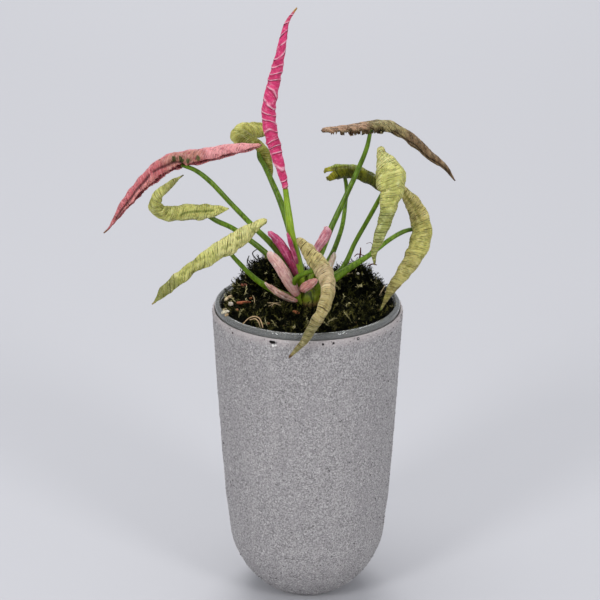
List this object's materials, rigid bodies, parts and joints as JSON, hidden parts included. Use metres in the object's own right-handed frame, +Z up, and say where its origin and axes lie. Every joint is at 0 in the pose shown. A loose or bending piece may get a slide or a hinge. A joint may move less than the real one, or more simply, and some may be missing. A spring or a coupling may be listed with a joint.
{
  "type": "arrowhead plant in a tumbler pot",
  "caption": "Potted arrowhead plant with rolled, wrinkled pink, green and brown leaves on slim stalks, in moss in a tall glass tumbler with a rough gray sand coat.",
  "frame": {"origin": "middle of the pot's round foot, on the surface it stands on", "axes": "+Z up along the pot's axis, +X to the right and +Y away from the viewer as the plant is pictured"},
  "size_m": [0.1511, 0.0904, 0.2698],
  "materials": {
    "clear_glass": "gloss",
    "sand_and_cement": "matte",
    "peat_soil": "matte",
    "sheet_moss": "matte",
    "leaf_stalk": "satin",
    "spear_stalk": "satin",
    "magenta_leaf": "satin",
    "salmon_leaf": "satin",
    "yellow_green_leaf": "satin",
    "tan_leaf": "satin",
    "dark_olive_leaf": "satin",
    "brown_leaf": "matte",
    "magenta_sheath": "satin",
    "pink_sheath": "satin",
    "tan_sheath": "matte",
    "bark": "matte",
    "pale_grain": "matte"
  },
  "bodies": {
    "root": {"glass_tumbler": "clear_glass", "sand_coat": "sand_and_cement", "soil_fill": "peat_soil", "moss_cushion": "sheet_moss", "crown_stem": "leaf_stalk", "stalk_spear": "spear_stalk", "stalk_folded": "leaf_stalk", "stalk_brown": "leaf_stalk", "stalk_pink": "leaf_stalk", "stalk_dark": "leaf_stalk", "stalk_broad": "leaf_stalk", "stalk_right": "leaf_stalk", "stalk_hooked": "leaf_stalk", "stalk_lower": "leaf_stalk", "stalk_front": "leaf_stalk", "blade_spear": "magenta_leaf", "blade_folded": "yellow_green_leaf", "blade_brown": "brown_leaf", "blade_pink": "salmon_leaf", "blade_dark": "dark_olive_leaf", "blade_broad": "yellow_green_leaf", "blade_right": "yellow_green_leaf", "blade_hooked": "yellow_green_leaf", "blade_lower": "yellow_green_leaf", "blade_front": "tan_leaf", "sheath_magenta": "magenta_sheath", "sheath_broad": "pink_sheath", "sheath_low": "pink_sheath", "sheath_right": "pink_sheath", "sheath_pale": "tan_sheath", "sheath_thin": "magenta_sheath", "sheath_front": "pink_sheath", "bark_chip_left": "bark", "bark_chip_front": "bark", "pale_grain": "pale_grain"}
  },
  "joints": []
}
